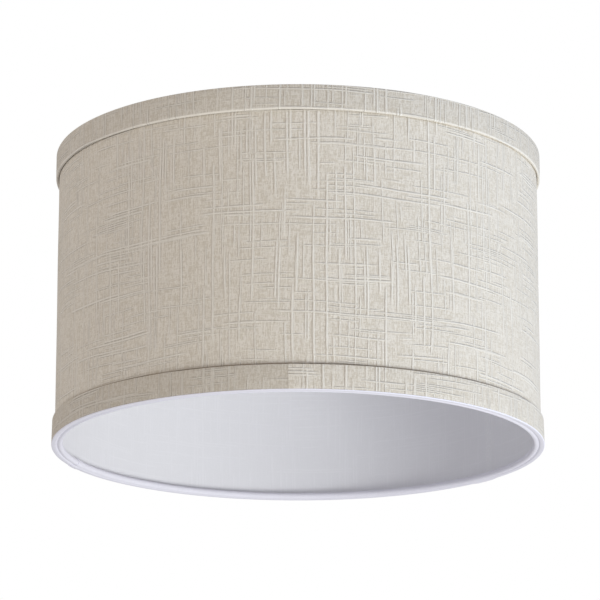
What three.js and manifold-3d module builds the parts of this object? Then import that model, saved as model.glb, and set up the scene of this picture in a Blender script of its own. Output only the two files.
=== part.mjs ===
// A hardback drum lamp shade, in millimetres, +Z up, with its origin under its axis on the bottom rim.
//
// A sheet of white liner laminated with linen is rolled into a drum and lapped over its own start, with
// a strip of adhesive in the lap. A steel wire ring stiffens each rim. White binding tape is tucked
// behind the ring, wraps it, covers the sheet's raw edge and turns up outside, and a folded band of the
// linen is glued over that. Three cranked arms run from the top ring to a pressed steel fitter, whose
// hole goes over the screw of a lamp's harp.
import * as THREE from "three";
import { mergeVertices } from "three/addons/utils/BufferGeometryUtils.js";
import Module from "manifold-3d";

// Driving dimensions.
const HEIGHT = 202; // from rim to rim
const WALL_RADIUS = 162.7; // outer face of the linen between the bands
const LINEN = 0.6; // thickness of the cloth
const LINER = 0.4; // thickness of the white sheet
const GLUE = 0.1; // glue line between bonded pieces
const CONTACT = 0.3; // clearance where a cut piece meets its neighbour

const SEAM_ANGLE = 36; // degrees from +X to the inner end of the rolled sheet
const SEAM_LAP = 12; // how far the sheet laps over its own start
const SEAM_RAMP = 10; // run over which the sheet climbs on to its start
const SEAM_TAPE = 0.15; // thickness of the adhesive strip in the lap
const SEAM_TAPE_MARGIN = 1.5; // from the strip to the edges of the lap
const SEAM_TAPE_INSET = 3; // from the strip's ends to the sheet's edges

const WIRE = 3; // diameter of the rings and the arms
const BINDING = 0.5; // thickness of the binding tape
const BINDING_TURN_UP = 9; // height of the tape's outer leg, from the rim

const BAND_HEIGHT = 17; // linen band, from the rim to its free edge
const BAND_EDGE = 1.9; // thickness at its free edge
const BAND_RIM = 1.5; // thickness at the rim, where its hem is folded in
const BAND_SETBACK = 0.3; // from the rim's plane to the band
const BAND_SLOPE = 2.4; // run over which it closes on the wall above the binding
const BAND_ROUND = 0.7; // rounding of its corners

const FITTER_DROP = 22; // from the top rim to the face that sits on the harp
const FITTER_PLATE = 1.5; // sheet thickness of the pressing
const FITTER_HOLE = 11.1; // diameter
const FITTER_BOSS = 21; // diameter of the raised flat round the hole
const FITTER_RISE = 3.6; // from the flange up to the boss
const FITTER_CONE = 2.7; // radial run of the cone between them
const FITTER_FLANGE = 37; // outer diameter
const ARMS = 3;
const ARM_ANGLE = 90; // degrees from +X to the first arm
const ARM_STUB = 10; // straight run inward from the ring
const ARM_CRANK = 11; // radial run of the crank
const ARM_BEND = 4.5; // length cut from each side of a corner to round it

// Fineness of the facets.
const STEP = 6; // degrees between stations round the drum
const MIN_STEP = 1; // least angle from an even station to a corner of the lap or an arm
const WIRE_SIDES = 8; // a multiple of 4, so the tape's turn ends at the foot of the wire
const ARM_STEPS = 38;
const FITTER_SEGMENTS = 36;

const DEG = Math.PI / 180;
const wireRadius = WIRE / 2;

// The wall, from inside to outside, and the ring that stands inside it with the tape's tucked end between.
const linenInner = WALL_RADIUS - LINEN;
const linerOuter = linenInner - GLUE;
const linerInner = linerOuter - LINER;
const ringRadius = linerInner - GLUE - BINDING - GLUE - wireRadius;
const ringHeight = BINDING + GLUE + wireRadius; // of its centre, from the rim's plane
const sheetSetback = BINDING + GLUE; // from the rim's plane to the sheet's raw edge
const lapStep = LINER + GLUE + LINEN + GLUE + SEAM_TAPE + GLUE; // how far the lap stands out

const lapDegrees = SEAM_LAP / WALL_RADIUS / DEG;
const rampDegrees = SEAM_RAMP / WALL_RADIUS / DEG;
const cornerDegrees = 0.4; // clearance past a corner of the lap, along the wall
const fallDegrees = 1.6; // run over which the outer pieces drop off the lap's end

const linenMaterial = new THREE.MeshStandardMaterial({ color: 0xd2cbbd, roughness: 0.95, metalness: 0 });
const linerMaterial = new THREE.MeshStandardMaterial({ color: 0xeeeef2, roughness: 0.45, metalness: 0 });
const bindingMaterial = new THREE.MeshStandardMaterial({ color: 0xe9e8f0, roughness: 0.8, metalness: 0 });
const wireMaterial = new THREE.MeshStandardMaterial({ color: 0xc9ccd0, roughness: 0.3, metalness: 1 });
const adhesiveMaterial = new THREE.MeshStandardMaterial({ color: 0xe6dfc8, roughness: 0.6, metalness: 0 });

const wasm = await Module();
wasm.setup();

const armAngles = Array.from({ length: ARMS }, (_, i) => ARM_ANGLE + (i * 360) / ARMS);

// Stations round the drum, in degrees from the seam: the lap's corners, the arms, and even steps between.
function seamStations() {
  const lap = [0, lapDegrees, lapDegrees + cornerDegrees, lapDegrees + cornerDegrees + fallDegrees];
  const ramp = [360 - rampDegrees, 360 - cornerDegrees];
  const arms = armAngles.map((angle) => THREE.MathUtils.euclideanModulo(angle - SEAM_ANGLE, 360));
  const clear = (angle) => arms.every((arm) => Math.abs(arm - angle) > MIN_STEP);
  const between = (angle) => angle > lap.at(-1) + MIN_STEP && angle < ramp[0] - MIN_STEP;
  const even = Array.from({ length: 360 / STEP }, (_, i) => i * STEP);
  const free = even.filter((angle) => between(angle) && clear(angle));
  return [...lap, ...ramp, ...arms, ...free].sort((a, b) => a - b);
}

// How far the lap pushes out what covers the wall, at an angle from the seam.
function lapShift(angle) {
  const climb = THREE.MathUtils.clamp((angle - 360 + rampDegrees) / (rampDegrees - cornerDegrees), 0, 1);
  const fall = THREE.MathUtils.clamp((angle - lapDegrees - cornerDegrees) / fallDegrees, 0, 1);
  return lapStep * (angle > 180 ? climb : 1 - fall);
}

function polar(radius, degrees) {
  return new THREE.Vector2(radius * Math.cos(degrees * DEG), radius * Math.sin(degrees * DEG));
}

// A closed ring with the section given as [radius, height, outside] points, counter-clockwise with
// radius to the right and height up. The points marked outside follow the lap.
function ringGeometry(section) {
  const stations = seamStations();
  const positions = [];
  for (const angle of stations) {
    for (const [radius, height, outside] of section) {
      const p = polar(radius + (outside ? lapShift(angle) : 0), angle + SEAM_ANGLE);
      positions.push(p.x, p.y, height);
    }
  }
  const count = section.length;
  const index = [];
  for (let i = 0; i < stations.length; i++) {
    const here = i * count;
    const next = ((i + 1) % stations.length) * count;
    for (let j = 0; j < count; j++) {
      const k = (j + 1) % count;
      index.push(here + j, next + j, next + k, here + j, next + k, here + k);
    }
  }
  const geometry = new THREE.BufferGeometry();
  geometry.setAttribute("position", new THREE.Float32BufferAttribute(positions, 3));
  geometry.setIndex(index);
  geometry.computeVertexNormals();
  return geometry;
}

// The section of a bottom rim's piece turned over for the top rim.
function overTheTop(section) {
  return section.map(([radius, height, outside]) => [radius, HEIGHT - height, outside]).reverse();
}

// A sheet between two radii, rolled once round and lapped over its own start.
function rolledSheetGeometry(inner, outer) {
  const rolled = [...seamStations(), 360, 360 + lapDegrees];
  const shift = (angle) => (angle > 180 ? lapShift(Math.min(angle, 360 - cornerDegrees)) : 0);
  const face = (radius) => rolled.map((angle) => polar(radius + shift(angle), angle + SEAM_ANGLE));
  const shape = new THREE.Shape([...face(outer), ...face(inner).reverse()]);
  const depth = HEIGHT - 2 * sheetSetback;
  return new THREE.ExtrudeGeometry(shape, { depth, bevelEnabled: false }).translate(0, 0, sheetSetback);
}

function seamAdhesiveGeometry() {
  const inner = WALL_RADIUS + GLUE;
  const margin = SEAM_TAPE_MARGIN / WALL_RADIUS / DEG;
  const ends = [SEAM_ANGLE + margin, SEAM_ANGLE + lapDegrees - margin];
  const face = (radius) => ends.map((angle) => polar(radius, angle));
  const shape = new THREE.Shape([...face(inner + SEAM_TAPE), ...face(inner).reverse()]);
  const low = sheetSetback + SEAM_TAPE_INSET;
  return new THREE.ExtrudeGeometry(shape, { depth: HEIGHT - 2 * low, bevelEnabled: false }).translate(0, 0, low);
}

// The tape's section at the bottom rim: tucked behind the wire, over it, down inside it, under the
// wire and the sheet's edge, and up outside the linen.
function bindingSection() {
  const facets = (WIRE_SIDES * 3) / 4;
  const turn = (radius) =>
    Array.from({ length: facets + 1 }, (_, i) => {
      const p = polar(radius, (i * 360) / WIRE_SIDES);
      return [ringRadius + p.x, ringHeight + p.y, false];
    });
  const inside = wireRadius + GLUE;
  const legInner = WALL_RADIUS + GLUE;
  const legOuter = legInner + BINDING;
  return [
    ...turn(inside + BINDING),
    [legOuter, 0, true],
    [legOuter, BINDING_TURN_UP, true],
    [legInner, BINDING_TURN_UP, true],
    [legInner, BINDING, true],
    ...turn(inside).reverse(),
  ];
}

// The linen band's section at the bottom rim: over the binding's outer leg, then down on to the wall.
function bandSection() {
  const onBinding = WALL_RADIUS + GLUE + BINDING + GLUE;
  const onWall = WALL_RADIUS + GLUE;
  const rimOuter = onBinding + BAND_RIM;
  const edgeOuter = onWall + BAND_EDGE;
  const clearOfBinding = BINDING_TURN_UP + GLUE;
  return [
    [onBinding, BAND_SETBACK, true],
    [rimOuter - BAND_ROUND, BAND_SETBACK, true],
    [rimOuter, BAND_SETBACK + BAND_ROUND, true],
    [(rimOuter + edgeOuter) / 2, clearOfBinding + BAND_SLOPE / 2, true],
    [edgeOuter, BAND_HEIGHT - BAND_ROUND, true],
    [edgeOuter - BAND_ROUND, BAND_HEIGHT, true],
    [onWall, BAND_HEIGHT, true],
    [onWall, clearOfBinding + BAND_SLOPE, true],
    [onBinding, clearOfBinding, true],
  ];
}

function wireSection() {
  const around = Array.from({ length: WIRE_SIDES }, (_, i) => polar(wireRadius, (i * 360) / WIRE_SIDES));
  return around.map((p) => [ringRadius + p.x, ringHeight + p.y, false]);
}

// Heights of the fitter's pressing, and of the arms' axis where they lie on its flange.
const seatHeight = HEIGHT - FITTER_DROP;
const bossTop = seatHeight + FITTER_PLATE;
const flangeTop = bossTop - FITTER_RISE;
const armHeight = flangeTop + GLUE + wireRadius;
const coneTop = FITTER_BOSS / 2;
const coneFoot = coneTop + FITTER_CONE;

function fitterGeometry() {
  const lip = FITTER_HOLE / 2;
  const edge = FITTER_FLANGE / 2;
  const thinning = FITTER_PLATE * 0.4; // how far the underside of the cone lies inside its top
  const outline = [
    [lip, seatHeight],
    [coneTop - thinning, seatHeight],
    [coneFoot - thinning, flangeTop - FITTER_PLATE],
    [edge, flangeTop - FITTER_PLATE],
    [edge, flangeTop],
    [coneFoot, flangeTop],
    [coneTop, bossTop],
    [lip, bossTop],
    [lip, seatHeight],
  ].map(([radius, height]) => new THREE.Vector2(radius, height));
  // A lathe turns about Y, so its profile's height is stood up along Z.
  return new THREE.LatheGeometry(outline, FITTER_SEGMENTS).rotateX(Math.PI / 2);
}

// The axis of the arm that lies along +X, from the ring to the foot of the fitter's cone.
function armPath() {
  const start = ringRadius - wireRadius - GLUE;
  const corners = [
    [start, HEIGHT - ringHeight],
    [start - ARM_STUB, HEIGHT - ringHeight],
    [start - ARM_STUB - ARM_CRANK, armHeight],
    [coneFoot + CONTACT, armHeight],
  ].map(([radius, height]) => new THREE.Vector3(radius, 0, height));
  const path = new THREE.CurvePath();
  let from = corners[0];
  for (let i = 1; i < corners.length - 1; i++) {
    const bend = Math.min(ARM_BEND, corners[i].distanceTo(corners[i - 1]) * 0.45);
    const toward = (p) => corners[i].clone().add(p.clone().sub(corners[i]).setLength(bend));
    const [enter, leave] = [toward(corners[i - 1]), toward(corners[i + 1])];
    path.add(new THREE.LineCurve3(from, enter));
    path.add(new THREE.QuadraticBezierCurve3(enter, corners[i], leave));
    from = leave;
  }
  path.add(new THREE.LineCurve3(from, corners.at(-1)));
  return path;
}

function roundSection(radius, sides) {
  return new THREE.Shape(Array.from({ length: sides }, (_, i) => polar(radius, ((i + 0.5) * 360) / sides)));
}

function armGeometry() {
  const section = roundSection(wireRadius, WIRE_SIDES);
  return new THREE.ExtrudeGeometry(section, { steps: ARM_STEPS, extrudePath: armPath() });
}

function solidOf(geometry) {
  const bare = geometry.clone();
  for (const name of Object.keys(bare.attributes)) {
    if (name !== "position") bare.deleteAttribute(name);
  }
  const merged = mergeVertices(bare);
  const mesh = new wasm.Mesh({
    numProp: 3,
    vertProperties: merged.attributes.position.array,
    triVerts: new Uint32Array(merged.index.array),
  });
  return new wasm.Manifold(mesh);
}

function geometryOf(solid) {
  const mesh = solid.getMesh();
  const geometry = new THREE.BufferGeometry();
  geometry.setAttribute("position", new THREE.Float32BufferAttribute(mesh.vertProperties, 3));
  geometry.setIndex(new THREE.BufferAttribute(mesh.triVerts, 1));
  geometry.computeVertexNormals();
  return geometry;
}

// The top binding, snipped where each arm comes off the ring.
function snippedBindingGeometry() {
  let binding = solidOf(ringGeometry(overTheTop(bindingSection())));
  const snip = new THREE.CylinderGeometry(
    wireRadius + CONTACT,
    wireRadius + CONTACT,
    ARM_STUB,
    2 * WIRE_SIDES,
  );
  snip.rotateZ(Math.PI / 2);
  snip.translate(ringRadius - (wireRadius + ARM_STUB) / 2, 0, HEIGHT - ringHeight);
  for (const angle of armAngles) {
    binding = binding.subtract(solidOf(snip.clone().rotateZ(angle * DEG)));
  }
  return geometryOf(binding);
}

const shade = new THREE.Group();

function add(name, geometry, material) {
  const mesh = new THREE.Mesh(geometry, material);
  mesh.name = name;
  shade.add(mesh);
  return mesh;
}

add("linen_cover", rolledSheetGeometry(linenInner, WALL_RADIUS), linenMaterial);
add("white_liner", rolledSheetGeometry(linerInner, linerOuter), linerMaterial);
add("seam_adhesive_strip", seamAdhesiveGeometry(), adhesiveMaterial);
add("bottom_ring", ringGeometry(wireSection()), wireMaterial);
add("top_ring", ringGeometry(overTheTop(wireSection())), wireMaterial);
add("bottom_binding", ringGeometry(bindingSection()), bindingMaterial);
add("top_binding", snippedBindingGeometry(), bindingMaterial);
add("bottom_band", ringGeometry(bandSection()), linenMaterial);
add("top_band", ringGeometry(overTheTop(bandSection())), linenMaterial);
add("fitter_washer", fitterGeometry(), wireMaterial);
armAngles.forEach((angle, i) => {
  add(`spider_arm_${i + 1}`, armGeometry(), wireMaterial).rotation.z = angle * DEG;
});

export default shade;
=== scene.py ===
"""A hardback drum lamp shade in slub linen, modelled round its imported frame.

Every cloth and sheet is made as a maker makes it: drawn flat as a long strip, with x along the strip, y
outwards and z up, and then rolled round the drum's axis and lapped at the seam. Lengths are in metres.
"""

import math

import bmesh
import bpy
from mathutils import Matrix, Vector, noise


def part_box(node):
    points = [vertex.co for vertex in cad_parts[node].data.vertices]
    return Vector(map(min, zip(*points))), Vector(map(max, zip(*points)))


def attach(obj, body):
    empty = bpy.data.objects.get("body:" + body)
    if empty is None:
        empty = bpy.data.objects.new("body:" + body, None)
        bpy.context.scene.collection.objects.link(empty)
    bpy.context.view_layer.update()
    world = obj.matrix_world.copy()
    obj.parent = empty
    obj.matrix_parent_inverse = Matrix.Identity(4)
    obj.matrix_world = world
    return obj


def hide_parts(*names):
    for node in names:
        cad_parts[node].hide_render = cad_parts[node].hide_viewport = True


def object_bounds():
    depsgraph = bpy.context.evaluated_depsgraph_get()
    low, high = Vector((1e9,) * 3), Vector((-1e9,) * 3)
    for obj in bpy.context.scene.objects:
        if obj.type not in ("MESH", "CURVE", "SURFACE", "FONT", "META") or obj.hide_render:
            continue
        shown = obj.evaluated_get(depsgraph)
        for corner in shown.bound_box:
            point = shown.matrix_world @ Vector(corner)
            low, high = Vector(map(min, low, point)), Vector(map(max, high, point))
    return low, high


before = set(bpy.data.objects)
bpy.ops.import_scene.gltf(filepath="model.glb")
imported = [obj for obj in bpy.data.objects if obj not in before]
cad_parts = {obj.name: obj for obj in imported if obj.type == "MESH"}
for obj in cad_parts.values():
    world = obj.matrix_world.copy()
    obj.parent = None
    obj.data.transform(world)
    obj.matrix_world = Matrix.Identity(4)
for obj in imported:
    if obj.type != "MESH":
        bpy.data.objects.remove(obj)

bl_info = {
    "name": "Linen Drum Shade",
    "version": (1, 0, 0),
    "blender": (4, 5, 0),
    "location": "3D View > Sidebar > Shade",
    "description": "Models a linen drum lamp shade round its frame",
    "category": "Object",
}

BODY = "root"
MM = 0.001

# The frame's own measures.
CAD_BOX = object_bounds()
HEIGHT = CAD_BOX[1].z
DRUM_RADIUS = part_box("linen_cover")[1].x
LINER_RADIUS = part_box("white_liner")[1].x
BAND_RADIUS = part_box("bottom_band")[1].x
BAND_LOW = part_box("bottom_band")[0].z
BAND_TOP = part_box("bottom_band")[1].z
TAPE_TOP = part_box("bottom_binding")[1].z
RING_LOW, RING_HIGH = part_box("bottom_ring")
WIRE = RING_HIGH.z - RING_LOW.z
RING_RADIUS = RING_HIGH.x - WIRE / 2
RING_UP = (RING_LOW.z + RING_HIGH.z) / 2
TURN = math.tau * DRUM_RADIUS
COLUMNS = 480  # faces round a rolled strip


class ShadeSizes(bpy.types.PropertyGroup):
    """The sizes that the frame doesn't give."""

    linen: bpy.props.FloatProperty(
        name="Linen", description="Thickness of the linen", default=0.6 * MM, unit="LENGTH"
    )
    liner: bpy.props.FloatProperty(
        name="Liner", description="Thickness of the white sheet", default=0.4 * MM, unit="LENGTH"
    )
    tape: bpy.props.FloatProperty(
        name="Tape", description="Thickness of the binding tape", default=0.5 * MM, unit="LENGTH"
    )
    bond: bpy.props.FloatProperty(
        name="Bond", description="Glue line between bonded pieces", default=0.1 * MM, unit="LENGTH"
    )
    glue: bpy.props.FloatProperty(
        name="Seam glue", description="Thickness of the strip in the lap", default=0.15 * MM, unit="LENGTH"
    )
    lap: bpy.props.FloatProperty(
        name="Lap", description="How far the sheet laps over its start", default=12 * MM, unit="LENGTH"
    )
    ramp: bpy.props.FloatProperty(
        name="Ramp", description="Run over which the lap climbs", default=9 * MM, unit="LENGTH"
    )
    edge_up: bpy.props.FloatProperty(
        name="Raw edge", description="From the rim's plane to the sheet's edge", default=MM, unit="LENGTH"
    )
    foot: bpy.props.FloatProperty(
        name="Foot", description="Height of the tape's foot below the band", default=0.35 * MM, unit="LENGTH"
    )
    hem: bpy.props.FloatProperty(
        name="Hem", description="Linen folded in at a band's edges", default=4.5 * MM, unit="LENGTH"
    )
    band_cloth: bpy.props.FloatProperty(
        name="Band cloth", description="Thickness of the band's linen", default=0.5 * MM, unit="LENGTH"
    )
    waver: bpy.props.FloatProperty(
        name="Waver", description="How far the wall strays from round", default=0.16 * MM, unit="LENGTH"
    )


class ShadeColours(bpy.types.PropertyGroup):
    """The colours of the finishes, as linear light."""

    linen_light: bpy.props.FloatVectorProperty(
        name="Light yarn", description="The palest yarns", subtype="COLOR", default=(0.765, 0.712, 0.632)
    )
    linen_dark: bpy.props.FloatVectorProperty(
        name="Dark yarn", description="The darkest yarns", subtype="COLOR", default=(0.61, 0.55, 0.46)
    )
    linen_slub: bpy.props.FloatVectorProperty(
        name="Slubs", description="The thick soft slubs", subtype="COLOR", default=(0.82, 0.775, 0.70)
    )
    # Painted shadow: the colour of the narrow dark line painted just above the bottom band, where the band's
    # edge shades the wall.
    painted_shadow: bpy.props.FloatVectorProperty(
        name="Shadow", description="Glue and dust above the band", subtype="COLOR", default=(0.24, 0.18, 0.125)
    )
    # The colour a band darkens to, little by little, towards its strip's end.
    end_tone: bpy.props.FloatVectorProperty(
        name="Age", description="What old linen darkens to", subtype="COLOR", default=(0.2, 0.155, 0.11)
    )
    liner: bpy.props.FloatVectorProperty(
        name="Liner", description="The white sheet", subtype="COLOR", default=(0.83, 0.83, 0.865)
    )
    tape: bpy.props.FloatVectorProperty(
        name="Tape", description="The binding tape", subtype="COLOR", default=(0.83, 0.82, 0.905)
    )
    zinc: bpy.props.FloatVectorProperty(
        name="Zinc", description="The plated wire and fitter", subtype="COLOR", default=(0.62, 0.64, 0.66)
    )
    glue: bpy.props.FloatVectorProperty(
        name="Glue", description="The strip in the seam", subtype="COLOR", default=(0.81, 0.81, 0.84)
    )


class ShadeStudio(bpy.types.PropertyGroup):
    """The camera's place and the strength of the light."""

    lens: bpy.props.FloatProperty(name="Lens", description="Focal length in millimetres", default=215.5)
    away: bpy.props.FloatProperty(
        name="Away", description="Camera from the drum's axis, level, in drum radii", default=14.422
    )
    below: bpy.props.FloatProperty(
        name="Below", description="Camera below the bottom rim, in drum radii", default=3.313
    )
    aside: bpy.props.FloatProperty(
        name="Aside", description="Camera to the right, in drum radii", default=0.0083
    )
    tilt: bpy.props.FloatProperty(
        name="Tilt", description="Camera above the level", subtype="ANGLE", default=math.radians(15.31)
    )
    key: bpy.props.FloatProperty(name="Key", description="Key light in watts", default=59.0)
    side: bpy.props.FloatProperty(name="Side", description="Cool side light in watts", default=28.0)
    fill: bpy.props.FloatProperty(name="Fill", description="Warm fill light in watts", default=22.5)
    surround: bpy.props.FloatProperty(name="Surround", description="Light from all round", default=0.465)
    floor_down: bpy.props.FloatProperty(
        name="Floor", description="Floor below the bottom rim", default=3.6, unit="LENGTH"
    )


# Shaping.


def climb(x, end, run):
    """Rises softly from 0 to 1 over the run that ends there."""
    t = min(max((x - end + run) / run, 0.0), 1.0)
    return t * t * (3 - 2 * t)


def lap_step(sizes):
    """How far the lapped sheet stands out from its start: liner, linen, the glue strip and three bonds."""
    return sizes.liner + sizes.linen + sizes.glue + 3 * sizes.bond


def seam_angle(sizes):
    """The angle of the rolled sheet's start, from the middle of the glue strip in its lap."""
    low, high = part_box("seam_adhesive_strip")
    middle = (low + high) / 2
    return math.atan2(middle.y, middle.x) - sizes.lap / DRUM_RADIUS / 2


def waver(sizes, x, z):
    """The wall's slight straying from round, none at the seam or where the wires hold the rims."""
    steady = 20 * MM
    ends = climb(x, steady, steady) * (1 - climb(x, TURN - steady, steady))
    rims = climb(z, 2 * steady, steady) * (1 - climb(z, HEIGHT - steady, steady))
    broad = noise.noise(Vector((x / 0.07, z / 0.06, 2.5)))
    fine = noise.noise(Vector((x / 0.024, z / 0.05, 7.5)))
    return sizes.waver * ends * rims * (broad + 0.4 * fine)


def sheet_rise(sizes, x, z):
    """How far the rolled sheet stands out, from its start round to the end of its lap."""
    return lap_step(sizes) * climb(x, TURN - MM, sizes.ramp) + waver(sizes, x, z)


def wall_rise(sizes, x):
    """How far the lap pushes out what covers the wall, at a distance round from the seam."""
    x %= TURN
    fall = 5 * MM
    return lap_step(sizes) * max(climb(x, TURN - MM, sizes.ramp), 1 - climb(x, sizes.lap + MM + fall, fall))


def flat_sheet(bm, length, low, high, columns, rows):
    """A flat strip of sheet, x along it and z up, with its height kept as its place across."""
    across = bm.verts.layers.float.new("across")
    bmesh.ops.create_grid(bm, x_segments=columns, y_segments=rows, size=0.5)
    stood = Matrix.Rotation(math.pi / 2, 4, "X")
    sized = Matrix.Diagonal((length, 1, high - low, 1))
    placed = Matrix.Translation((length / 2, 0, (low + high) / 2))
    bmesh.ops.transform(bm, matrix=placed @ sized @ stood, verts=bm.verts[:])
    for v in bm.verts:
        v[across] = v.co.z


def drawn_strip(bm, outline, length, columns):
    """A strip with a folded section, drawn along x.

    outline holds the section's (y, z) points, each with how far the corner there is cut back to round it.
    """
    across = bm.verts.layers.float.new("across")
    points = [bm.verts.new((0, y, z)) for y, z, _ in outline]
    for a, b in zip(points, points[1:]):
        bm.edges.new((a, b))
    for point, (_, _, cut) in zip(points, outline):
        if cut:
            bmesh.ops.bevel(
                bm, geom=[point], offset=cut, segments=4, profile=0.5, affect="VERTICES", material=-1
            )
    walked, here, before = 0.0, points[0], None
    while here:
        here[across] = walked
        onward = [e.other_vert(here) for e in here.link_edges if e.other_vert(here) is not before]
        before, here = here, (onward[0] if onward else None)
        walked += (here.co - before.co).length if here else 0
    stretches = 12
    bmesh.ops.spin(
        bm,
        geom=bm.verts[:] + bm.edges[:],
        axis=(1, 0, 0),
        dvec=(length / stretches, 0, 0),
        angle=0,
        steps=stretches,
    )
    along = [e for e in bm.edges if abs(e.verts[0].co.x - e.verts[1].co.x) > MM]
    bmesh.ops.subdivide_edges(bm, edges=along, cuts=columns // stretches - 1, use_grid_fill=True)


def walk(outline):
    """The length of cloth in a folded section."""
    points = [Vector(point[:2]) for point in outline]
    return sum((b - a).length for a, b in zip(points, points[1:]))


def lay_cloth_map(bm):
    """A UV map in metres of flat cloth, along the strip and across it."""
    across = bm.verts.layers.float["across"]
    cloth = bm.loops.layers.uv.new("Cloth")
    for face in bm.faces:
        for loop in face.loops:
            loop[cloth].uv = (loop.vert.co.x, loop.vert[across])


def turn_over(bm):
    """Turns a bottom rim's strip over for the top rim."""
    bmesh.ops.scale(bm, vec=(1, 1, -1), verts=bm.verts[:])
    bmesh.ops.translate(bm, vec=(0, 0, HEIGHT), verts=bm.verts[:])


def roll(bm, radius, start, rise):
    """Rolls a flat strip round the drum's axis from the start angle. rise says how far out a place lies."""
    for v in bm.verts:
        x, y, z = v.co
        angle = start + x / DRUM_RADIUS
        out = radius + y + rise(x, y, z)
        v.co = (out * math.cos(angle), out * math.sin(angle), z)


def face_out(bm):
    """Turns an open cloth's faces so that the side away from the drum's axis is its front."""
    bmesh.ops.recalc_face_normals(bm, faces=bm.faces[:])
    level = Vector((1, 1, 0))
    if sum(f.normal.dot(f.calc_center_median() * level) * f.calc_area() for f in bm.faces) < 0:
        bmesh.ops.reverse_faces(bm, faces=bm.faces[:])


def thicken(bm, thickness):
    """Gives an open cloth its thickness, half to each side, and closes its edges."""
    bm.normal_update()
    for v in bm.verts:
        v.co += v.normal * thickness / 2
    bmesh.ops.solidify(bm, geom=bm.faces[:], thickness=thickness)
    bmesh.ops.recalc_face_normals(bm, faces=bm.faces[:])


def sharpen(bm, degrees=38):
    """Smooth faces, with the edges sharper than that kept crisp."""
    for face in bm.faces:
        face.smooth = True
    for edge in bm.edges:
        if len(edge.link_faces) == 2:
            edge.smooth = edge.calc_face_angle(0) < math.radians(degrees)


def piece(name, bm, material, slot, *nodes):
    """Makes a finished mesh a piece that rides on the frame, and stands for these CAD nodes."""
    sharpen(bm)
    mesh = bpy.data.meshes.new(name)
    bm.to_mesh(mesh)
    bm.free()
    made = bpy.data.objects.new(name, mesh)
    made.data.materials.append(material)
    bpy.context.scene.collection.objects.link(made)
    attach(made, BODY)
    if nodes:
        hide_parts(*nodes)
    return made


# Finishes.


class Value:
    """A socket's value in a shader, so that maths on it reads as Python."""

    def __init__(self, shader, socket):
        self.shader, self.socket = shader, socket

    def maths(self, operation, *values):
        return self.shader.node("ShaderNodeMath", values, operation=operation)

    def __add__(self, other):
        return self.maths("ADD", self, other)

    def __sub__(self, other):
        return self.maths("SUBTRACT", self, other)

    def __mul__(self, other):
        return self.maths("MULTIPLY", self, other)

    def __rsub__(self, other):
        return self.maths("SUBTRACT", other, self)

    __radd__, __rmul__ = __add__, __mul__

    def highest(self, other):
        return self.maths("MAXIMUM", self, other)

    def __truediv__(self, other):
        return self.maths("DIVIDE", self, other)

    def power(self, exponent):
        return self.maths("POWER", self, exponent)

    def size(self):
        return self.maths("ABSOLUTE", self)

    def floor(self):
        return self.maths("FLOOR", self)

    def fraction(self):
        return self.maths("FRACT", self)

    def wave(self, cycle):
        """A sine of this value, from -1 to 1, that repeats every cycle."""
        return self.maths("SINE", self * (math.tau / cycle))

    def step(self, low, high):
        """Rises softly from 0 at low to 1 at high."""
        inputs = {"Value": self, "From Min": low, "From Max": high}
        return self.shader.node("ShaderNodeMapRange", inputs, interpolation_type="SMOOTHSTEP")


class Shader:
    """A material or a world, with its nodes made by one method."""

    def __init__(self, data):
        data.use_nodes = True
        self.data, self.tree = data, data.node_tree
        self.tree.nodes.clear()

    def feed(self, socket, value):
        if isinstance(value, Value):
            self.tree.links.new(value.socket, socket)
        elif socket.type == "RGBA" and len(value) == 3:
            socket.default_value = (*value, 1)
        else:
            socket.default_value = value

    def node(self, kind, inputs=(), output=0, **settings):
        """A node, with its settings made first. inputs go by place in a list, or by name or identifier."""
        made = self.tree.nodes.new(kind)
        for name, value in settings.items():
            setattr(made, name, value)
        pairs = inputs.items() if isinstance(inputs, dict) else enumerate(inputs)
        for key, value in pairs:
            found = [s for i, s in enumerate(made.inputs) if key in (i, s.identifier, s.name)]
            self.feed(found[0], value)
        outputs = [s for i, s in enumerate(made.outputs) if output in (i, s.identifier)]
        return Value(self, outputs[0]) if outputs else None

    def cloth(self):
        """The place on the flat cloth, in metres."""
        return self.node("ShaderNodeUVMap", uv_map="Cloth")

    def place(self):
        """The place on the piece, in metres."""
        return self.node("ShaderNodeTexCoord", output=3)

    def parts(self, vector):
        split = self.node("ShaderNodeSeparateXYZ", [vector])
        return [Value(self, s) for s in split.socket.node.outputs]

    def mottle(self, vector, size, seed=0, detail=1.0):
        """Noise from 0 to 1 in patches of these sizes, one size for each direction of the vector."""
        scale = (*(1 / s for s in size), 1)[:3]
        away = [seed * step for step in (17.3, 9.1, 5.7)]
        mapped = self.node("ShaderNodeMapping", {"Vector": vector, "Scale": scale, "Location": away})
        inputs = {"Vector": mapped, "Scale": 1, "Detail": detail}
        return self.node("ShaderNodeTexNoise", inputs, noise_dimensions="2D" if len(size) == 2 else "3D")

    def mix(self, share, first, second):
        """A colour between two, by share."""
        inputs = {"Factor_Float": share, "A_Color": first, "B_Color": second}
        return self.node("ShaderNodeMix", inputs, output="Result_Color", data_type="RGBA")

    def bump(self, height, strength=1.0):
        """A normal from a height in millimetres."""
        return self.node("ShaderNodeBump", {"Height": height, "Strength": strength, "Distance": MM})

    def finish(self, **inputs):
        """The surface, from the Principled shader's inputs with _ for a space, and the material."""
        named = {name.replace("_", " "): value for name, value in inputs.items()}
        surface = self.node("ShaderNodeBsdfPrincipled", named)
        self.node("ShaderNodeOutputMaterial", {"Surface": surface})
        return self.data


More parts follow.
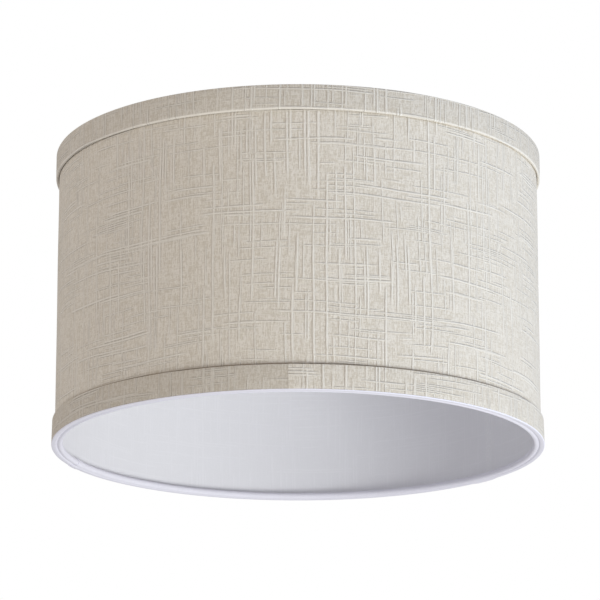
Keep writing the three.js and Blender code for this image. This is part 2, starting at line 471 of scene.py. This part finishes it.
def slub_cloth(shader, seed=0):
    """The weave of slub linen: its tone from 0 to 1 with painted shade beside the slubs, its slubs' mask,
    and its height in millimetres.

    Upright yarns and level yarns go over and under each other by turns. Each yarn has its own tone and
    thickness, which drift along it, and here and there a yarn swells into a slub.
    """
    pitch = 0.78 * MM
    cloth = shader.cloth()
    u, v, _ = shader.parts(cloth)

    def drift(width, length, order):
        """Noise about 0, in patches of that many millimetres."""
        return shader.mottle(cloth, (width * MM, length * MM), seed + order) - 0.5

    def own(yarn, along, length, order, detail=0.0):
        """A value for each yarn that drifts along it over that many millimetres."""
        apart = 7.31
        place = shader.node("ShaderNodeCombineXYZ", [yarn * apart + seed, along / (length * MM), 0.0])
        return shader.mottle(place, (1.0, 1.0), order, detail)

    def slubs_in(across, along, yarns, length, share, order):
        """Slubs as thick as that many yarns, the fewer the higher share is, and painted shade in the hollows
        at their sides.
        """
        taper, flank = 0.07, 0.6
        place = across / yarns
        swell = own(place.floor(), along, length, order).step(share, share + taper)
        aside = (2 * place.fraction() - 1).size()
        return swell * (1 - aside.power(2.0)), swell * aside.step(flank, 1.0)

    a = (u + 5 * MM * drift(40, 110, 1)) / pitch
    b = (v + 6 * MM * drift(90, 40, 2)) / pitch
    upright, level = own(a.floor(), v, 9, 3, 1.0), own(b.floor(), u, 9, 4, 1.0)
    over = (a.wave(2.0) * b.wave(2.0)).step(-0.5, 0.5)
    ridges = over * a.wave(2.0).size() * upright + (1 - over) * b.wave(2.0).size() * level
    grain = drift(0.5, 2.6, 11) + 0.7 * drift(2.2, 0.5, 12)
    patches = drift(9, 60, 9) + drift(80, 9, 10)
    stripes = (a.wave(2.0) + a.wave(3.4)) * (0.5 + 2.0 * drift(14, 25, 14))
    beside = 1.3
    (tall, tall_shade), (thin, thin_shade), (wide, wide_shade), (slight, slight_shade) = (
        slubs_in(a, v, 2.6, 80, 0.68, 5),
        slubs_in(a + beside, v, 1.9, 55, 0.645, 6),
        slubs_in(b, u, 2.4, 80, 0.685, 7),
        slubs_in(b + beside, u, 1.8, 55, 0.665, 8),
    )
    slubs = tall.highest(0.8 * thin).highest(wide).highest(0.8 * slight)
    slub_side_shade = tall_shade.highest(0.6 * thin_shade).highest(wide_shade).highest(0.6 * slight_shade)
    yarns = 1.3 * (upright - 0.5) + 0.9 * (level - 0.5) + 0.4 * (ridges - 0.25)
    # The tone is darkened beside the slubs as painted shade.
    tone = 0.5 + yarns + 1.7 * grain + 0.12 * patches + 0.16 * stripes - slub_side_shade
    height = 0.6 * slubs + 0.22 * ridges + 0.25 * grain
    return tone, slubs, height


def linen(colours, name="slub_linen", painted_dimming=1.0, seed=0, shadow_from=None, crease=None, end_darkening=0.0):
    """Slub linen. A dimming below 1 darkens it all over, as painted shade for where it lies double over an
    opaque backing and lets less light through.

    Just above a height given for the shadow, a painted shadow darkens it in a narrow line, where a band's
    edge shades the wall. Along a fold at a distance given for the highlight, a painted highlight makes it
    pale. A darkening share darkens it little by little towards the strip's end.
    """
    shader = Shader(bpy.data.materials.new(name))
    tone, slubs, height = slub_cloth(shader, seed)
    yarns = (colours.linen_light, colours.linen_dark, colours.linen_slub)
    # Painted shade: the yarn colours dimmed all over by the given share.
    light, dark, slub = ([c * painted_dimming for c in yarn] for yarn in yarns)
    colour = shader.mix(0.7 * slubs, shader.mix(tone.step(0.0, 1.0), dark, light), slub)
    along, across, _ = shader.parts(shader.cloth())
    # Darker little by little along the strip towards its end.
    if end_darkening:
        colour = shader.mix(end_darkening * along.step(0.1 * TURN, TURN), colour, list(colours.end_tone))
    # Painted shadow: a narrow dark line with a soft fringe just above the given height, where the band's
    # edge shades the wall.
    if shadow_from:
        up = across - shadow_from
        core, halo = 1 - up.step(0.6 * MM, 1.6 * MM), 1 - up.step(0.0, 3.5 * MM)
        colour = shader.mix((0.85 * core).highest(0.4 * halo), colour, list(colours.painted_shadow))
    # Painted highlight: a pale line along the fold at the given distance across, where light from below
    # catches it.
    if crease:
        painted_highlight = 1 - (across - crease).size().step(0.5 * MM, 1.3 * MM)
        colour = shader.mix(0.8 * painted_highlight, colour, [1.12 * c for c in slub])
    return shader.finish(
        Base_Color=colour,
        Roughness=0.92,
        Sheen_Weight=0.12,
        Sheen_Roughness=0.5,
        Specular_IOR_Level=0.2,
        Normal=shader.bump(height),
    )


def liner_finish(colours):
    """White sheet with the linen's slubs showing through it faintly."""
    shader = Shader(bpy.data.materials.new("white_sheet"))
    tone, slubs, _ = slub_cloth(shader)
    shown = shader.mix(0.5 * slubs + 0.35 * tone, [c * 0.955 for c in colours.liner], list(colours.liner))
    marks = shader.mottle(shader.place(), (0.03, 0.03, 0.05), 3, 3.0)
    return shader.finish(
        Base_Color=shown,
        Roughness=0.42 + 0.12 * marks,
        Specular_IOR_Level=0.4,
        Normal=shader.bump(0.03 * marks + 0.02 * slubs),
    )


def tape_finish(colours):
    """White cotton tape in a fine plain weave, puckered a little where it turns round the wire."""
    shader = Shader(bpy.data.materials.new("binding_tape"))
    cloth = shader.cloth()
    u, v, _ = shader.parts(cloth)
    weave = u.wave(0.55 * MM) * v.wave(0.55 * MM)
    puckers = shader.mottle(cloth, (1.6 * MM, 7 * MM), 2, 1.0)
    drift = shader.mottle(cloth, (30 * MM, 5 * MM), 5, 2.0)
    tone = 0.55 + 0.5 * (drift - 0.5) + 0.35 * (puckers - 0.5) + 0.05 * weave
    colour = shader.mix(tone.step(0.0, 1.0), [c * 0.92 for c in colours.tape], list(colours.tape))
    return shader.finish(
        Base_Color=colour,
        Roughness=0.8,
        Sheen_Weight=0.15,
        Sheen_Roughness=0.4,
        Specular_IOR_Level=0.25,
        Normal=shader.bump(0.14 * puckers + 0.04 * drift + 0.02 * weave),
    )


def zinc_finish(colours):
    """Bright zinc plating on drawn wire and pressed sheet, a little cloudy."""
    shader = Shader(bpy.data.materials.new("zinc_plate"))
    place = shader.place()
    cloud = shader.mottle(place, (6 * MM, 6 * MM, 6 * MM), 1, 3.0)
    grain = shader.mottle(place, (0.8 * MM, 0.8 * MM, 0.8 * MM), 2, 2.0)
    colour = shader.mix(cloud.step(0.3, 0.75), [c * 0.82 for c in colours.zinc], list(colours.zinc))
    return shader.finish(
        Base_Color=colour,
        Metallic=1.0,
        Roughness=0.2 + 0.22 * cloud + 0.06 * grain,
        Normal=shader.bump(0.015 * grain),
    )


def glue_finish(colours):
    """The clear adhesive strip in the lap, cloudy with small bubbles."""
    shader = Shader(bpy.data.materials.new("seam_glue"))
    bubbles = shader.mottle(shader.place(), (1.5 * MM, 1.5 * MM, 1.5 * MM), 4, 2.0)
    colour = shader.mix(bubbles.step(0.45, 0.7), list(colours.glue), [c * 1.04 for c in colours.glue])
    return shader.finish(Base_Color=colour, Roughness=0.3, Normal=shader.bump(0.02 * bubbles))


# The pieces.


class SHADE_OT_drum(bpy.types.Operator):
    """Roll the linen and its white liner into the drum, with the glue strip in their lap"""

    bl_idname = "shade.drum"
    bl_label = "Drum"

    def execute(self, context):
        sizes, colours = context.scene.shade_sizes, context.scene.shade_colours
        start = seam_angle(sizes)
        length = TURN + sizes.lap
        low, high = sizes.edge_up, HEIGHT - sizes.edge_up
        # The wall's linen takes a painted shadow just above the bottom band's edge.
        cover, backing = linen(colours, shadow_from=BAND_TOP), liner_finish(colours)
        layers = (
            ("drum_linen", DRUM_RADIUS - sizes.linen / 2, sizes.linen, cover, "linen", "linen_cover"),
            ("drum_liner", LINER_RADIUS - sizes.liner / 2, sizes.liner, backing, "liner", "white_liner"),
        )
        for name, radius, thickness, finish, slot, node in layers:
            bm = bmesh.new()
            flat_sheet(bm, length, low, high, columns=COLUMNS, rows=44)
            lay_cloth_map(bm)
            roll(bm, radius, start, lambda x, y, z: sheet_rise(sizes, x, z))
            face_out(bm)
            thicken(bm, thickness)
            piece(name, bm, finish, slot, node)
        self.glue(sizes, colours, start)
        return {"FINISHED"}

    def glue(self, sizes, colours, start):
        """The strip in the lap, and the bead of glue that fills the step at the sheet's start."""
        low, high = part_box("seam_adhesive_strip")
        margin = 1.5 * MM
        bm = bmesh.new()
        flat_sheet(bm, sizes.lap - 2 * margin, low.z, high.z, columns=8, rows=24)
        bmesh.ops.translate(bm, vec=(margin, 0, 0), verts=bm.verts[:])
        lay_cloth_map(bm)
        radius = DRUM_RADIUS + sizes.bond + sizes.glue / 2
        roll(bm, radius, start, lambda x, y, z: 0)
        face_out(bm)
        thicken(bm, sizes.glue)
        inner, behind = LINER_RADIUS - sizes.liner, lap_step(sizes) + 0.1 * MM
        toe, toe_rise, sunk = 6 * MM, 0.62 * MM, 0.02 * MM
        past, skin, heel = 0.1 * MM, 0.2 * MM, MM
        section = [
            (inner + sunk, past),
            (inner + toe_rise, -toe),
            (inner + toe_rise + skin, -toe),
            (inner + behind, -heel),
            (inner + behind, past),
        ]
        bead = bm.faces.new([bm.verts.new((r, t, low.z)) for r, t in section])
        grown = bmesh.ops.extrude_face_region(bm, geom=[bead])["geom"]
        raised = [g for g in grown if isinstance(g, bmesh.types.BMVert)]
        bmesh.ops.translate(bm, vec=(0, 0, high.z - low.z), verts=raised)
        bmesh.ops.rotate(bm, matrix=Matrix.Rotation(start, 3, "Z"), verts=raised + list(bead.verts))
        bmesh.ops.recalc_face_normals(bm, faces=bm.faces[:])
        piece("glue_strip", bm, glue_finish(colours), "adhesive", "seam_adhesive_strip")


class SHADE_OT_rings(bpy.types.Operator):
    """Bend the two wire rings"""

    bl_idname = "shade.rings"
    bl_label = "Wire rings"

    def execute(self, context):
        finish = zinc_finish(context.scene.shade_colours)
        for rim, height in (("bottom", RING_UP), ("top", HEIGHT - RING_UP)):
            bm = bmesh.new()
            bmesh.ops.create_circle(bm, segments=16, radius=WIRE / 2)
            stood = Matrix.Translation((RING_RADIUS, 0, height)) @ Matrix.Rotation(math.pi / 2, 4, "X")
            bmesh.ops.transform(bm, matrix=stood, verts=bm.verts[:])
            bmesh.ops.spin(
                bm, geom=bm.verts[:] + bm.edges[:], axis=(0, 0, 1), angle=math.tau, steps=240, use_merge=True
            )
            bmesh.ops.recalc_face_normals(bm, faces=bm.faces[:])
            piece(f"{rim}_wire_ring", bm, finish, "wire", f"{rim}_ring")
        return {"FINISHED"}


class SHADE_OT_tapes(bpy.types.Operator):
    """Bind each rim in white tape: behind the wire, over and under it, round the raw edge and up outside"""

    bl_idname = "shade.tapes"
    bl_label = "Binding tapes"

    def execute(self, context):
        sizes, colours = context.scene.shade_sizes, context.scene.shade_colours
        finish = tape_finish(colours)
        self.bind("bottom", sizes, finish, footed=True)
        self.bind("top", sizes, finish, footed=False)
        return {"FINISHED"}

    def bind(self, rim, sizes, finish, footed):
        half = sizes.tape / 2
        round_wire = WIRE / 2 + sizes.bond + half
        wall = DRUM_RADIUS - RING_RADIUS
        outside = wall + sizes.bond + half
        foot = BAND_RADIUS - RING_RADIUS - half
        turns, sweep = 22, 286
        turned = [math.radians(i * sweep / turns) for i in range(turns + 1)]
        outline = [(round_wire * math.cos(a), RING_UP + round_wire * math.sin(a), 0) for a in turned]
        outline += [
            (round_wire - 0.15 * MM, 1.15 * MM, 0.45 * MM),
            (outside - 0.95 * MM, half, 0.5 * MM),
        ]
        if footed:
            outline += [
                (foot, half, 0.28 * MM),
                (foot, half + sizes.foot, 0.28 * MM),
                (outside, half + sizes.foot + 0.3 * MM, 0.4 * MM),
            ]
        else:
            outline.append((outside, half, 0.5 * MM))
        outline.append((outside, TAPE_TOP, 0))
        join = math.radians(159)
        lap = 9 * MM
        start = seam_angle(sizes)
        offset = (join - start) * DRUM_RADIUS
        length = TURN + lap
        bm = bmesh.new()
        drawn_strip(bm, outline, length, columns=COLUMNS)
        lay_cloth_map(bm)
        along = bm.verts.layers.float.new("along")
        for v in bm.verts:
            v[along] = v.co.x
        if rim == "top":
            turn_over(bm)

        def rise(x, y, z):
            """Only what lies outside the wire follows the drum's lap."""
            return wall_rise(sizes, x + offset) * climb(y, wall - 0.3 * MM, 1.2 * MM)

        roll(bm, RING_RADIUS, join, rise)
        face_out(bm)
        bm.normal_update()
        for v in bm.verts:
            v.co += v.normal * 0.8 * sizes.tape * climb(v[along], TURN - 0.5 * MM, 4 * MM)
        thicken(bm, sizes.tape)
        made = piece(f"{rim}_tape", bm, finish, "binding", f"{rim}_binding")


class SHADE_OT_bands(bpy.types.Operator):
    """Fold a strip of the linen in at both edges and glue it round each rim"""

    bl_idname = "shade.bands"
    bl_label = "Linen bands"

    def execute(self, context):
        sizes, colours = context.scene.shade_sizes, context.scene.shade_colours
        front_joint, seam_joint = math.radians(267.9), seam_angle(sizes) - 3 * MM / DRUM_RADIUS
        self.wrap(
            "bottom",
            sizes,
            colours,
            # The bottom band's linen: a little darker all over as painted shade, and darker towards its
            # strip's end.
            cloth={"painted_dimming": 0.97, "seed": 40, "end_darkening": 0.2},
            low=sizes.foot + sizes.tape,
            stand=1.85 * MM,
            gap=0.3 * MM,
            start=front_joint,
        )
        self.wrap(
            "top",
            sizes,
            colours,
            # The top band's linen: darker all over as painted shade.
            cloth={"painted_dimming": 0.905, "seed": 70},
            low=BAND_LOW,
            stand=BAND_RADIUS - DRUM_RADIUS,
            gap=0.0,
            start=seam_joint,
        )
        return {"FINISHED"}

    def wrap(self, rim, sizes, colours, cloth, low, stand, gap, start):
        """Folds one band and lays it round.

        cloth is what its linen differs by, and low is the height of its lower edge. stand and gap say how
        far its upper edge's outer face and inner layer are off the wall.
        """
        half = sizes.band_cloth / 2
        on_wall = sizes.bond + half
        on_tape = 2 * sizes.bond + sizes.tape + half
        rim_out = BAND_RADIUS - DRUM_RADIUS - half
        edge_in, edge_out = on_wall + gap, stand - half
        fold = (edge_out - edge_in) * 0.45
        low, high = low + half, BAND_TOP - half
        outline = [
            (on_tape, low + sizes.hem, 0),
            (on_tape + 0.1 * MM, low, 0.3 * MM),
            (rim_out, low, 0.42 * MM),
            ((rim_out + edge_out) / 2, (low + high) / 2, 3 * MM),
            (edge_out, high, fold),
            (edge_in, high, fold),
            (on_wall, high - sizes.hem, 0),
        ]
        # The top band's lower fold gets a painted highlight.
        if rim == "top":
            cloth["crease"] = walk(outline[:5]) - 0.4 * fold
        finish = linen(colours, f"{rim}_band_linen", **cloth)
        lap, run = 11 * MM, 7 * MM
        length = TURN + lap
        past_seam = (start - seam_angle(sizes)) * DRUM_RADIUS
        bm = bmesh.new()
        drawn_strip(bm, outline, length, columns=COLUMNS)
        lay_cloth_map(bm)
        if rim == "top":
            turn_over(bm)

        def rise(x, y, z):
            """The strip's start lies over its end."""
            return wall_rise(sizes, x + past_seam) + 0.5 * sizes.band_cloth * (1 - climb(x, lap + run, run))

        roll(bm, DRUM_RADIUS, start, rise)
        face_out(bm)
        thicken(bm, sizes.band_cloth)
        made = piece(f"{rim}_linen_band", bm, finish, "linen", f"{rim}_band")


class SHADE_OT_spider(bpy.types.Operator):
    """Bend the three cranked arms and weld them to the top ring and the fitter"""

    bl_idname = "shade.spider"
    bl_label = "Spider arms"

    def execute(self, context):
        finish = zinc_finish(context.scene.shade_colours)
        nodes = sorted(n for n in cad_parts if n.startswith("spider_arm_"))
        for i, node in enumerate(nodes):
            self.arm(f"spider_wire_{i + 1}", node, finish)
        return {"FINISHED"}

    def arm(self, name, node, finish):
        low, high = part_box(node)
        middle = (low + high) / 2
        outward = math.atan2(middle.y, middle.x)
        radius = WIRE / 2
        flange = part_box("fitter_washer")[1].x
        lie = low.z + radius
        crank_z = HEIGHT - RING_UP
        stub, crank, bend = 10 * MM, 11 * MM, 4.5 * MM
        slope = math.atan2(crank_z - lie, crank)
        bend_radius = bend / math.tan(slope / 2)
        steep = math.hypot(crank, crank_z - lie) - 2 * bend
        start = RING_RADIUS - radius * 0.6
        inner = 13.5 * MM
        bm = bmesh.new()
        bmesh.ops.create_circle(bm, segments=20, radius=radius, cap_ends=True)
        turned = Matrix.Translation((start, 0, crank_z)) @ Matrix.Rotation(math.pi / 2, 4, "Y")
        bmesh.ops.transform(bm, matrix=turned, verts=bm.verts[:])
        end = {"verts": bm.verts[:], "edges": bm.edges[:], "faces": bm.faces[:]}
        heading = Vector((-1, 0, 0))

        def straight(end, length):
            out = bmesh.ops.extrude_face_region(bm, geom=end["faces"])["geom"]
            verts = [g for g in out if isinstance(g, bmesh.types.BMVert)]
            bmesh.ops.translate(bm, vec=heading * length, verts=verts)
            bmesh.ops.delete(bm, geom=[f for f in end["faces"] if f.is_valid], context="FACES_ONLY")
            return {"verts": verts, "faces": [g for g in out if isinstance(g, bmesh.types.BMFace)]}

        def bent(end, angle):
            at = sum((v.co for v in end["verts"]), Vector()) / len(end["verts"])
            side = Vector((heading.z, 0, -heading.x)) * math.copysign(bend_radius, angle)
            out = bmesh.ops.spin(
                bm, geom=end["faces"], cent=at + side, axis=(0, 1, 0), angle=angle, steps=8
            )["geom_last"]
            verts = [g for g in out if isinstance(g, bmesh.types.BMVert)]
            bmesh.ops.delete(bm, geom=[f for f in end["faces"] if f.is_valid], context="FACES_ONLY")
            return {"verts": verts, "faces": [g for g in out if isinstance(g, bmesh.types.BMFace)]}

        first_stub = start - (RING_RADIUS - radius - 0.1 * MM) + stub - bend
        end = straight({"faces": end["faces"]}, first_stub)
        end = bent(end, -slope)
        heading = Vector((-math.cos(slope), 0, -math.sin(slope)))
        end = straight(end, steep)
        end = bent(end, slope)
        heading = Vector((-1, 0, 0))
        at = sum((v.co for v in end["verts"]), Vector()) / len(end["verts"])
        straight(end, at.x - inner)
        for x, z, size in ((start, crank_z, 1.25), (flange - 1.2 * MM, lie - 0.5 * MM, 1.1)):
            ball = bmesh.ops.create_icosphere(bm, subdivisions=3, radius=radius * size)["verts"]
            bmesh.ops.scale(bm, vec=(0.9, 1.15, 0.8), verts=ball)
            bmesh.ops.translate(bm, vec=(x, 0, z), verts=ball)
        bmesh.ops.rotate(bm, matrix=Matrix.Rotation(outward, 3, "Z"), verts=bm.verts[:])
        bmesh.ops.recalc_face_normals(bm, faces=bm.faces[:])
        piece(name, bm, finish, "wire", node)


class SHADE_OT_fitter(bpy.types.Operator):
    """Press the fitter: a flange, a cone and a flat boss round the hole for the harp's screw"""

    bl_idname = "shade.fitter"
    bl_label = "Fitter"

    def execute(self, context):
        low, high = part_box("fitter_washer")
        plate = 1.5 * MM
        hole, boss, cone, edge = 5.55 * MM, 10.5 * MM, 13.2 * MM, high.x
        thinning = plate * 0.4
        section = [
            (hole, high.z - plate),
            (boss - thinning, high.z - plate),
            (cone - thinning, low.z),
            (edge, low.z),
            (edge, low.z + plate),
            (cone, low.z + plate),
            (boss, high.z),
            (hole, high.z),
        ]
        bm = bmesh.new()
        points = [bm.verts.new((r, 0, z)) for r, z in section]
        for a, b in zip(points, points[1:] + points[:1]):
            bm.edges.new((a, b))
        bmesh.ops.bevel(
            bm, geom=points, offset=0.4 * MM, segments=3, profile=0.5, affect="VERTICES", material=-1
        )
        bmesh.ops.spin(
            bm, geom=bm.verts[:] + bm.edges[:], axis=(0, 0, 1), angle=math.tau, steps=96, use_merge=True
        )
        bmesh.ops.recalc_face_normals(bm, faces=bm.faces[:])
        finish = zinc_finish(context.scene.shade_colours)
        piece("fitter_disc", bm, finish, "wire", "fitter_washer")
        return {"FINISHED"}


class SHADE_OT_stage(bpy.types.Operator):
    """Set the camera, the floor and the soft studio light"""

    bl_idname = "shade.stage"
    bl_label = "Stage"

    def execute(self, context):
        studio = context.scene.shade_studio
        context.scene.view_settings.view_transform = "Standard"
        self.camera(context, studio)
        self.surround(context, studio)
        self.floor(context, studio)
        self.lamp("key", 50, -38, studio.key, (0.97, 1.0, 0.98))
        self.lamp("side", 75, 12, studio.side, (0.77, 1.0, 1.35))
        self.lamp("fill", -60, 10, studio.fill, (1.06, 1.0, 0.91))
        return {"FINISHED"}

    def camera(self, context, studio):
        data = bpy.data.cameras.new("camera")
        data.lens = studio.lens
        camera = bpy.data.objects.new("camera", data)
        camera.location = Vector((studio.aside, -studio.away, -studio.below)) * DRUM_RADIUS
        camera.rotation_euler = (math.pi / 2 + studio.tilt, 0, 0)
        context.scene.collection.objects.link(camera)
        context.scene.camera = camera

    def surround(self, context, studio):
        """White behind the shade, and soft light from all round it."""
        world = bpy.data.worlds.new("surround")
        shader = Shader(world)
        lit = {"Color": (1.02, 0.99, 1.0), "Strength": studio.surround}
        light = shader.node("ShaderNodeBackground", lit)
        seen = shader.node("ShaderNodeBackground", {"Color": (1, 1, 1), "Strength": 1.0})
        from_camera = shader.node("ShaderNodeLightPath", output="Is Camera Ray")
        both = shader.node("ShaderNodeMixShader", [from_camera, light, seen])
        shader.node("ShaderNodeOutputWorld", {"Surface": both})
        context.scene.world = world

    def floor(self, context, studio):
        bm = bmesh.new()
        bmesh.ops.create_grid(bm, x_segments=1, y_segments=1, size=40)
        bmesh.ops.translate(bm, vec=(0, 0, -studio.floor_down), verts=bm.verts[:])
        mesh = bpy.data.meshes.new("floor")
        bm.to_mesh(mesh)
        bm.free()
        shader = Shader(bpy.data.materials.new("pale_floor"))
        mesh.materials.append(shader.finish(Base_Color=(0.86, 0.86, 0.86), Roughness=0.9))
        floor = bpy.data.objects.new("floor", mesh)
        context.scene.collection.objects.link(floor)

    def lamp(self, name, azimuth, elevation, power, colour):
        """A soft square lamp aimed at the shade. Azimuth 0 is at the camera's side, and 90 to its right."""
        away, size = 3.0, 1.4
        data = bpy.data.lights.new(name, "AREA")
        data.size, data.energy, data.color = size, power, colour
        lamp = bpy.data.objects.new(name, data)
        a, e = math.radians(azimuth), math.radians(elevation)
        back = Vector((math.sin(a) * math.cos(e), -math.cos(a) * math.cos(e), math.sin(e)))
        lamp.location = Vector((0, 0, HEIGHT / 2)) + back * away
        lamp.rotation_euler = back.to_track_quat("Z", "Y").to_euler()
        lamp.visible_camera = False
        bpy.context.scene.collection.objects.link(lamp)


class SHADE_PT_panel(bpy.types.Panel):
    """The shade's sizes, colours and pieces"""

    bl_idname = "SHADE_PT_panel"
    bl_label = "Linen drum shade"
    bl_space_type = "VIEW_3D"
    bl_region_type = "UI"
    bl_category = "Shade"

    def draw(self, context):
        for group in (context.scene.shade_sizes, context.scene.shade_colours, context.scene.shade_studio):
            box = self.layout.box()
            for name in group.__annotations__:
                box.prop(group, name)
        for operator in OPERATORS:
            self.layout.operator(operator.bl_idname)


OPERATORS = (
    SHADE_OT_stage,
    SHADE_OT_drum,
    SHADE_OT_rings,
    SHADE_OT_tapes,
    SHADE_OT_bands,
    SHADE_OT_spider,
    SHADE_OT_fitter,
)
GROUPS = {"shade_sizes": ShadeSizes, "shade_colours": ShadeColours, "shade_studio": ShadeStudio}


def register():
    for cls in (*GROUPS.values(), *OPERATORS, SHADE_PT_panel):
        bpy.utils.register_class(cls)
    for name, group in GROUPS.items():
        setattr(bpy.types.Scene, name, bpy.props.PointerProperty(type=group))


def unregister():
    for name in GROUPS:
        delattr(bpy.types.Scene, name)
    for cls in reversed((*GROUPS.values(), *OPERATORS, SHADE_PT_panel)):
        bpy.utils.unregister_class(cls)


def main():
    register()
    bpy.ops.shade.stage()
    bpy.ops.shade.drum()
    bpy.ops.shade.rings()
    bpy.ops.shade.tapes()
    bpy.ops.shade.bands()
    bpy.ops.shade.spider()
    bpy.ops.shade.fitter()


if __name__ == "__main__":
    main()
